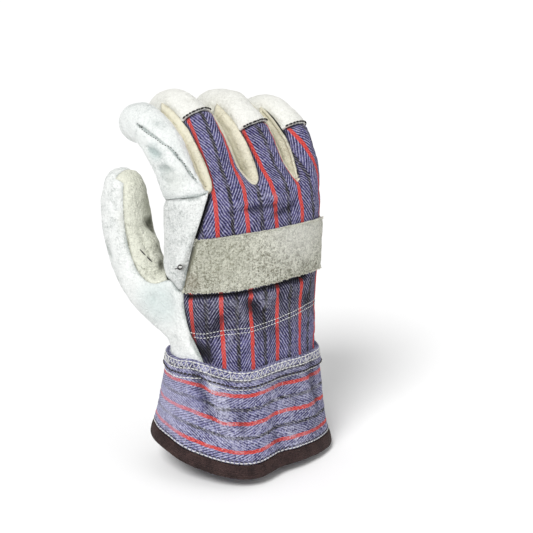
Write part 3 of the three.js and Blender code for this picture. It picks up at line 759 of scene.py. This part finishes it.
def flatten_back(piece):
    """Lays the cloth flat in metres, so that its stripes run straight up it and its lobes."""
    bpy.ops.object.select_all(action="DESELECT")
    piece.select_set(True)
    bpy.context.view_layer.objects.active = piece
    bpy.ops.object.mode_set(mode="EDIT")
    bpy.ops.mesh.select_all(action="SELECT")
    bpy.ops.uv.unwrap(method="ANGLE_BASED", margin=0)
    bpy.ops.object.mode_set(mode="OBJECT")
    mesh = piece.data
    layer = mesh.uv_layers.active
    layer.name = "cloth"
    flat = np.array([complex(*loop.uv) for loop in layer.data])
    place = np.array([mesh.vertices[loop.vertex_index].co for loop in mesh.loops])
    target = place[:, 0] + 1j * place[:, 2]
    hand = place[:, 2] < CROTCH_HEIGHT
    fits = []
    for form in (flat, flat.conj()):
        table = np.stack([form[hand], np.ones(hand.sum())], axis=1)
        answer, *_ = np.linalg.lstsq(table, target[hand], rcond=None)
        fits.append((np.abs(table @ answer - target[hand]).sum(), form, answer))
    _, form, (turn, shift) = min(fits, key=lambda fit: fit[0])
    real = sum(p.area for p in mesh.polygons)
    drawn = 0
    for p in mesh.polygons:
        corners = form[list(p.loop_indices)]
        drawn += abs((corners * np.roll(corners, -1).conj()).imag.sum()) / 2
    spread = turn / abs(turn) * sqrt(real / drawn)
    laid = form * spread
    laid += (target[hand] - laid[hand]).mean()
    for loop, spot in zip(layer.data, laid):
        lean = FINGER_LEAN * max(0, spot.imag - CROTCH_HEIGHT)
        loop.uv = (spot.real + lean, spot.imag)


SHADE = hue(16, 15, 22)
back_shade = [
    # x, y, z and reach in mm, colour, strength
    (-36, -22.5, 77, 10, SHADE, 0.75),
    (-7, -29.5, 104, 7, SHADE, 0.5),
    (-38, -19, 92, 12, SHADE, 0.4),
]
back_drill = drill("back_drill", 0.12, -0.0285, back_shade)
UNDER_STRAP = [
    (-43, -16.5, 111.8),
    (-40, -19.1, 112.3),
    (-35, -22.8, 113.1),
    (-27, -26.7, 113.8),
    (-20, -29.1, 114.1),
    (-15, -29.2, 114.1),
    (-6, -29.9, 114.7),
    (5, -29.4, 115.5),
    (15, -28.3, 116.2),
    (26, -25.4, 116.3),
    (32, -23.5, 116.7),
]
# The cloth is pressed in under the strap's lower edge and beside the standing flap edge; the dark
# line along each is painted shadow.
PRESSED_IN = groove_of(2.0, 1.5, 0.6, painted_shade=1.1)
BESIDE_FLAP = groove_of(0.5, 1.9, painted_shade=2.0)
back = sheet_piece(
    "back_cloth",
    back_drill,
    CLOTH,
    CLOTH_GROOVE,
    seams=[(UNDER_STRAP, PRESSED_IN), (FLAP_EDGE, BESIDE_FLAP)],
    coordinates=flatten_back,
)

# Elastic: it runs under the back and gathers the cloth at the wrist; only the two rows of white
# thread that hold it are seen.
INTO_BACK = Vector((0, 1, 0))
ELASTIC_ROWS = 2.6 * MM  # between the two
ELASTIC_LINE = [  # x and z of the upper row, in mm
    (-50, 88.3), (-44, 88.4), (-35, 88.8), (-24, 91), (-12, 91.4), (1, 92.4), (16, 94.6),
    (28, 96.2), (36, 96.7), (43, 96.6), (50, 96),
]
elastic_rows = []
for drop in (0, ELASTIC_ROWS):
    line = [Vector((x * MM, 0, z * MM - drop)) for x, z in ELASTIC_LINE]
    elastic_rows.append(over_sheet("back_cloth_piece", line, INTO_BACK))
elastic_stitches = stitch_row(
    "elastic_stitches",
    "back_cloth_piece",
    elastic_rows,
    white_thread,
    pitch=2.1 * MM,
    gap=0.45 * MM,
    thick=0.5 * MM,
)

# Index finger: a sleeve of the palm's split leather, all round, whiter than the palm. Its two long
# edges are sewn together in a seam up its back.
index_suede = suede(
    "index_suede",
    hue(244, 247, 245),
    hue(160, 171, 168),
    hue(140, 150, 147),
    speckle=0.3,
    stained=0.1,
    clouded=0.7,
    patches=[
        # painted shade in the index finger's creases
        (-56, 1.5, 198, 8, hue(168, 190, 188), 0.4),
        (-47, -9, 182, 12, hue(200, 204, 196), 0.35),
    ],
)
INDEX_SEAM = [
    (-60.7, 16.8, 211.9),
    (-58.9, 11.6, 210.4),
    (-54.5, 0.9, 206.1),
    (-48.7, -6.1, 201.0),
    (-43.6, -10.2, 194.2),
    (-38.8, -13.2, 186.0),
    (-35.2, -15.0, 181.2),
]
JOIN_GROOVE = groove_of(1.3, 1.1, 0.4, 3)
index = sheet_piece(
    "index_leather", index_suede, LEATHER, SEAM_GROOVE, seams=[(INDEX_SEAM, JOIN_GROOVE)]
)
index_stitches = stitch_row(
    "index_seam_stitches",
    "index_leather_piece",
    sheets["index_leather_piece"]["seams"],
    dark_thread,
    pitch=2.0 * MM,
    gap=0.8 * MM,
    thick=0.45 * MM,
    lift=0,
)

# Thumb: two halves of split leather, seamed over the tip. The inner half is the flesh side, darker
# and yellower, and its tail runs down to the cuff; the outer half wraps round the hand.
thumb_dark = suede(
    "thumb_inner_suede",
    hue(236, 237, 222),
    hue(146, 147, 130),
    hue(122, 120, 102),
    nap=1.2,
    speckle=0.6,
    patches=[
        # paler high on the thumb; painted shade towards the root, in the pockets of the root's
        # crease, under the ball of the thumb and in its crotch
        (-60, 38, 176, 16, hue(236, 236, 220), 0.6),
        (-46, 36, 158, 14, hue(176, 178, 154), 0.5),
        (-46.6, 34.6, 146.5, 5.5, hue(56, 58, 42), 0.6),
        (-45.6, 34.8, 141.6, 5.5, hue(60, 62, 46), 0.5),
        (-44.6, 29, 127.5, 3.5, hue(58, 60, 46), 0.6),
        (-45, 20, 121, 6, hue(58, 58, 44), 0.7),
    ],
)
thumb_inner = sheet_piece("thumb_inner", thumb_dark, LEATHER, SEAM_GROOVE)
thumb_pale = suede(
    "thumb_outer_suede",
    hue(243, 245, 243),
    hue(160, 168, 164),
    hue(136, 142, 132),
    speckle=0.35,
    stained=0.15,
    patches=[
        (-60, 28, 150, 14, hue(206, 206, 192), 0.4),
        (-55, 4, 104, 22, hue(204, 218, 216), 0.6),
    ],
)
thumb_outer = sheet_piece("thumb_outer", thumb_pale, LEATHER, SEAM_GROOVE)

# Tacks: two long stitches of dark thread beside the thumb's inner seam, each from leather to
# leather over the seam's groove.
TACKS = [  # both ends of each, in mm
    ((-58.5, 23.6, 132.6), (-55.4, 21.6, 128.6)),
    ((-55.0, 21.2, 128.2), (-52.2, 19.3, 124.6)),
]
halves = [sheets[name]["tree"] for name in ("thumb_inner_piece", "thumb_outer_piece")]
bm = bmesh.new()
for ends in TACKS:
    found = []
    for p in ends:
        hits = [half.find_nearest(Vector(p) * MM) for half in halves]
        found.append(min(hits, key=lambda hit: hit[3]))
    add_strand(bm, found[0][0], found[1][0], found[0][1], 0.8 * MM, 0.2 * MM)
tacks = thread_piece("thumb_tacks", bm, dark_thread)

# Strips between the fingers: narrow cuts of creamier leather, each down one finger's side, over
# the web and up the next finger's side.
STRIP_GROOVE = groove_of(1.0, 1.7, 1.1, 4)
cream = suede(
    "cream_suede", hue(234, 230, 210), hue(178, 171, 146), hue(150, 142, 116), nap=0.8, speckle=0.35
)
for node, width, area in (
    ("index_middle_strip", 0.037, 0.0022),
    ("middle_ring_strip", 0.039, 0.0023),
    ("ring_little_strip", 0.037, 0.0020),
):
    strip = sheet_piece(node, cream, LEATHER, STRIP_GROOVE)

# Fingertips: caps of split leather over the ends of the drill lobes, their edge lapped on the
# cloth and overcast in dark thread, drawn thick to be the painted shadow of the lap as well.
cap_suede = suede(
    "cap_suede",
    hue(245, 245, 239),
    hue(190, 190, 178),
    hue(160, 156, 138),
    speckle=0.26,
    stained=0.1,
    clouded=0.7,
)
LAPPED = groove_of(-0.35, 1.6, 0.2)
LAP_REACH = 2.4 * MM


def over_cloth(p):
    """Where a cap's rim lies on the drill."""
    return sheets["back_cloth_piece"]["tree"].find_nearest(p)[3] < LAP_REACH


def zigzag_row(name, sheet, runs, half, pitch, material, thick):
    """Overcast stitches that lean back and forth across the runs, unevenly."""
    bm = bmesh.new()
    tree = sheets[sheet]["tree"]
    for run in runs:
        spots = evenly(run, pitch / 2)
        ends = []
        for i, (a, b) in enumerate(zip(spots, spots[1:])):
            normal = tree.find_nearest(a)[1]
            reach = half * (1 + 0.6 * noise.noise(a / (3 * MM)))
            sideways = normal.cross(b - a).normalized() * (reach if i % 2 else -reach)
            shift = (b - a) * noise.noise(a / (2 * MM) + Vector((5, 2, 8)))
            ends.append(tree.find_nearest(a + sideways + shift)[0])
        for a, b in zip(ends, ends[1:]):
            normal = tree.find_nearest(a.lerp(b, 0.5))[1]
            add_strand(bm, a, b, normal, thick, 0.3 * MM)
    return thread_piece(name, bm, material)


for node, length, area in (
    ("middle_cap", 0.070, 0.0020),
    ("ring_cap", 0.078, 0.00225),
    ("little_cap", 0.070, 0.0021),
):
    cap = sheet_piece(node, cap_suede, LEATHER, SEAM_GROOVE, cut_edge=over_cloth, edge=LAPPED)
    # a thick dark thread along the lapped edge: partly stitches, partly painted shadow
    edging_and_shadow = zigzag_row(
        node + "_edging",
        cap.name,
        along_rim(cap.name, 0.1 * MM, over_cloth),
        half=0.2 * MM,
        pitch=4.4 * MM,
        material=dark_thread,
        thick=1.2 * MM,
    )

# Knuckle strap: a band of coarse grey-beige split leather over the knuckles, cut raw along its
# top and bottom and caught in the side seams.
strap_suede = suede(
    "strap_suede",
    hue(232, 232, 218),
    hue(118, 117, 98),
    hue(128, 112, 90),
    nap=1.7,
    speckle=0.8,
    stained=0.12,
    clouded=0.4,
    patches=[
        # x, y, z and reach in mm, colour, strength
        (-42, -19, 122, 9, hue(112, 96, 72), 0.4),
        # a painted shadow beside the knot at the flap's corner
        (-46.5, -13.5, 129.5, 4, hue(40, 38, 34), 0.75),
        (-30, -26, 138, 30, hue(170, 171, 150), 0.35),
        (26, -28, 150, 34, hue(238, 238, 232), 0.45),
    ],
)
STRAP_ENDS = (-40.5 * MM, 47.5 * MM)
STRAP_LOW = 118 * MM


def strap_cut(p):
    """The strap's top and bottom are raw, its ends are sewn in."""
    return p.x < STRAP_ENDS[1] and (p.x > STRAP_ENDS[0] or p.z < STRAP_LOW)


RAW_EDGE = groove_of(-0.25, 1.2)
STRAP_GROOVE = groove_of(2.1, 1.5, 0.2)
strap = sheet_piece(
    "knuckle_strap",
    strap_suede,
    LEATHER,
    STRAP_GROOVE,
    cut_edge=strap_cut,
    edge=RAW_EDGE,
    seams=[(FLAP_EDGE[3:], BESIDE_FLAP)],
)

FIBRE_TANGLE = 0.9 * MM


def fringe(name, sheet, runs, material, pitch, long, thick):
    """Fibres that stand out along a raw edge, each its own way."""
    bm = bmesh.new()
    tree = sheets[sheet]["tree"]
    for run in runs:
        spots = evenly(run, pitch)
        for a, b in zip(spots, spots[1:]):
            normal = tree.find_nearest(a)[1]
            way = noise.noise_vector(a / FIBRE_TANGLE).normalized()
            outward = normal.cross(b - a).normalized()
            side = 1 if way.dot(outward) > 0 else -1
            way = (way * 0.8 + normal * 0.3 + outward * side * 0.6).normalized()
            add_strand(bm, a - way * 0.3 * long, a + way * long, normal, thick, 0, sides=4, rings=3)
    return thread_piece(name, bm, material)


fibre_thread = thread_material("strap_fibre", hue(226, 226, 214), hue(176, 174, 156))
strap_fringe = fringe(
    "strap_fringe",
    "knuckle_strap_piece",
    along_rim("knuckle_strap_piece", 0.15 * MM, strap_cut),
    fibre_thread,
    pitch=0.8 * MM,
    long=1.0 * MM,
    thick=0.6 * MM,
)

# Palm patch: a second layer of the palm's split leather where a grip wears it most. It is cut raw
# and sewn down on the palm by a row of stitches along its edge.
patch = sheet_piece("palm_patch", palm_suede, LEATHER, NO_GROOVE)
patch_runs = along_rim("palm_patch_piece", 2.6 * MM, lambda p: True)
patch_stitches = stitch_row("patch_stitches", "palm_patch_piece", patch_runs, beige_thread)

# Cuff: a flared ring of the same drill, cut along the stripes so that they run round it, paler
# from wear. Its top is gathered on the hand.
CUFF_HEIGHT = 68 * MM
BINDING_HEIGHT = 6.5 * MM
cuff_round = {}


def ring_place(p):
    """Where a place of the cuff lies round it and up it, in metres, measured along the cloth."""
    angle = atan2(p[1], p[0])
    low = np.interp(angle, cuff_round["angle"], cuff_round["low"])
    high = np.interp(angle, cuff_round["angle"], cuff_round["high"])
    run = np.interp(angle, cuff_round["angle"], cuff_round["run"])
    up = (p[2] - low) / (high - low)
    return run, BINDING_HEIGHT + (CUFF_HEIGHT - BINDING_HEIGHT) * up


def measure_cuff(piece):
    """Reads the cuff's two rims, so that its stripes keep even between them, and lays it flat."""
    bm = bmesh.new()
    bm.from_mesh(piece.data)
    rims = sorted(rim_loops(bm), key=lambda loop: sum(v.co.z for v in loop))
    angles = np.linspace(-pi, pi, 181)
    rows = []
    for rim in rims:
        around = sorted((atan2(v.co.y, v.co.x), *v.co) for v in rim)
        table = np.array(around)
        rows.append([np.interp(angles, table[:, 0], table[:, k], period=2 * pi) for k in (1, 2, 3)])
    middle = (np.array(rows[0]) + np.array(rows[1])) / 2
    steps = np.sqrt((np.diff(middle, axis=1) ** 2).sum(axis=0))
    cuff_round.update(
        angle=angles, low=rows[0][2], high=rows[1][2], run=np.concatenate([[0], np.cumsum(steps)])
    )
    bm.free()
    lay_ring(piece)


def lay_ring(piece):
    """A ring piece's cloth, laid flat by its place round the cuff and its height up it."""
    mesh = piece.data
    layer = mesh.uv_layers.new(name="cloth")
    whole = cuff_round["run"][-1]
    for polygon in mesh.polygons:
        centre = ring_place(polygon.center)[0]
        for i in polygon.loop_indices:
            run, up = ring_place(mesh.vertices[mesh.loops[i].vertex_index].co)
            run += whole * round((centre - run) / whole)
            layer.data[i].uv = (up, run)


# Painted shade under the welt and in a fold, painted highlights on the fold's ridge, and a broad
# patch that makes the cuff paler on the left.
cuff_light_and_shade = [
    # x, y, z and reach in mm, colour, strength
    (-41, -22, 61, 6, SHADE, 0.5),
    (-33.5, -30.5, 58, 6, hue(236, 238, 248), 0.4),
    (-29, -34, 42, 6, hue(226, 228, 244), 0.2),
    (-42, -22, 46, 9, hue(66, 66, 130), 0.35),
    (-58, -4, 40, 34, hue(206, 204, 236), 0.35),
    (10, -36, 56, 16, SHADE, 0.15),
]
cuff_drill = drill("cuff_drill", 0.7, 0.0145, cuff_light_and_shade)
cuff = sheet_piece("cuff_cloth", cuff_drill, CLOTH, NO_GROOVE, coordinates=measure_cuff)

# Welt: the cuff's top edge, a narrow band of its drill that is folded and lapped on the hand. It is
# overcast in white and held between rows of white and dark thread; the dark row, thick and close,
# is also painted shadow along the welt's lower edge.
RIM_REACH = 4 * MM  # how far a rim's places stray from its height
WELT_REACH = 14 * MM
welt_drill = drill("welt_drill", 0.7, 0.0158, cuff_light_and_shade)
welt = sheet_piece("cuff_welt", welt_drill, CLOTH, NO_GROOVE, coordinates=lay_ring)


def welt_top(p):
    return ring_place(p)[1] > CUFF_HEIGHT - RIM_REACH


def welt_bottom(p):
    return not welt_top(p) and ring_place(p)[1] > CUFF_HEIGHT - WELT_REACH


welt_rows = [
    # name, sheet, which of its rims, how far in from it and how thick in mm, thread
    ("welt_top_stitches", welt, welt_top, 0.8, 0.75, white_thread),
    ("welt_middle_stitches", welt, welt_top, 5.2, 0.7, white_thread),
    # the dark row: thread, and painted shadow along the welt's lower edge
    ("welt_dark_stitches_and_shadow", welt, welt_bottom, 0.6, 1.1, dark_thread),
    ("cuff_top_stitches", cuff, welt_top, 11.6, 0.75, white_thread),
]
for name, sheet, rim, inset, thick, thread in welt_rows:
    runs = along_rim(sheet.name, inset * MM, rim)
    row = stitch_row(
        name, sheet.name, runs, thread, gap=0.15 * MM, thick=thick * MM, lift=0.2 * MM
    )
overcast = zigzag_row(
    "welt_overcast",
    "cuff_welt_piece",
    along_rim("cuff_welt_piece", 3 * MM, welt_top),
    half=1.9 * MM,
    pitch=3.8 * MM,
    material=white_thread,
    thick=0.42 * MM,
)


def above_hem(p):
    return ring_place(p)[1] < BINDING_HEIGHT + RIM_REACH


for name, inset, thread, thick in (
    ("hem_stitches", 0.7 * MM, white_thread, 0.7 * MM),
    ("hem_dark_stitches", 1.9 * MM, dark_thread, 0.6 * MM),
):
    runs = along_rim("cuff_cloth_piece", inset, above_hem)
    row = stitch_row(name, "cuff_cloth_piece", runs, thread, gap=0.3 * MM, thick=thick)

# Binding: dark brown ribbed tape folded over the cuff's hem, dusty from use, and stitched through
# with the rows above it.
TAPE_RIB = 1.5 * MM
TAPE_CORD = 0.9 * MM
tape, tree, shader, place = start_material("binding_tape", 0.75)
fibre = grain(tree, place, 0.8 * MM, 3, 0.7)
cloudy = grain(tree, place, 9 * MM, 3)
dust = grain(tree, place, 2.2 * MM, 5, 0.8).between(0.66, 0.74) * 0.5
colour = (fibre * 0.6 + cloudy * 0.4).between(0.35, 0.65).blend(hue(34, 24, 24), hue(72, 54, 52))
colour = dust.blend(colour, hue(160, 142, 130))
tree.links.new(colour.socket, shader.inputs["Base Color"])
_, across, along = cloth_place(tree)
ribs = wave(across, TAPE_RIB) * 0.5 + wave(along, TAPE_CORD) * 0.25
raise_surface(tree, shader, ribs + fibre * 0.5, 0.3 * MM)

bm = merged_copy("cuff_binding")
for v, out in zip(bm.verts, crease_depth(np.array([v.co for v in bm.verts]))):
    v.co += Vector((v.co.x, v.co.y, 0)).normalized() * out
binding = add_object("cuff_binding_piece", bm, tape)
lay_ring(binding)
rounder = binding.modifiers.new("round", "SUBSURF")
rounder.levels = rounder.render_levels = 2
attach(binding, "root")
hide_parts("cuff_binding")

# Floor, light and camera: a pale studio table, a broad soft light from the upper left and a fill,
# and the photograph's view of the back and the thumb's side.
FLOOR_HEIGHT = -7.5 * MM
FLOOR_SIZE = 4
paper, tree, shader, place = start_material("paper", 0.9)
shader.inputs["Base Color"].default_value = (0.97, 0.97, 0.97, 1)
bm = bmesh.new()
under = Matrix.Translation((0, 0, FLOOR_HEIGHT))
bmesh.ops.create_grid(bm, x_segments=1, y_segments=1, size=FLOOR_SIZE, matrix=under)
add_object("floor", bm, paper)

world = bpy.data.worlds.new("studio")
world.use_nodes = True
world.node_tree.nodes["Background"].inputs["Color"].default_value = (1, 1, 1, 1)
world.node_tree.nodes["Background"].inputs["Strength"].default_value = 0.5
bpy.context.scene.world = world
bpy.context.scene.view_settings.view_transform = "Standard"

AIM = Vector((0, 0, 0.12))
LIGHTS = [
    # name, azimuth and elevation in degrees, strength, how wide it looks in degrees
    ("key", -50, 48, 2.4, 24),
    ("fill", 40, 25, 0.3, 50),
]


def away_from(azimuth, elevation):
    a = radians(azimuth)
    e = radians(elevation)
    return Vector((sin(a) * cos(e), -cos(a) * cos(e), sin(e)))


for name, azimuth, elevation, strength, width in LIGHTS:
    lamp = bpy.data.lights.new(name, "SUN")
    lamp.energy = strength
    lamp.angle = radians(width)
    holder = bpy.data.objects.new(name, lamp)
    holder.location = AIM + away_from(azimuth, elevation)
    holder.rotation_mode = "QUATERNION"
    holder.rotation_quaternion = (AIM - holder.location).to_track_quat("-Z", "Y")
    bpy.context.scene.collection.objects.link(holder)

VIEW_AZIMUTH = -26  # degrees
VIEW_ELEVATION = 18
VIEW_DISTANCE = 0.8
VIEW_WIDTH = 0.33  # how much the frame takes in at the glove
VIEW_SIDEWAYS = 0.0149  # the camera looks past the glove's right by this
SENSOR = 36
back_off = away_from(VIEW_AZIMUTH, VIEW_ELEVATION)
look = (-back_off).to_track_quat("-Z", "Y")
camera = bpy.data.objects.new("camera", bpy.data.cameras.new("camera"))
camera.data.sensor_width = SENSOR
camera.data.lens = SENSOR * VIEW_DISTANCE / VIEW_WIDTH
camera.location = AIM + back_off * VIEW_DISTANCE + look @ Vector((VIEW_SIDEWAYS, 0, 0))
camera.rotation_mode = "QUATERNION"
camera.rotation_quaternion = look
bpy.context.scene.collection.objects.link(camera)
bpy.context.scene.camera = camera
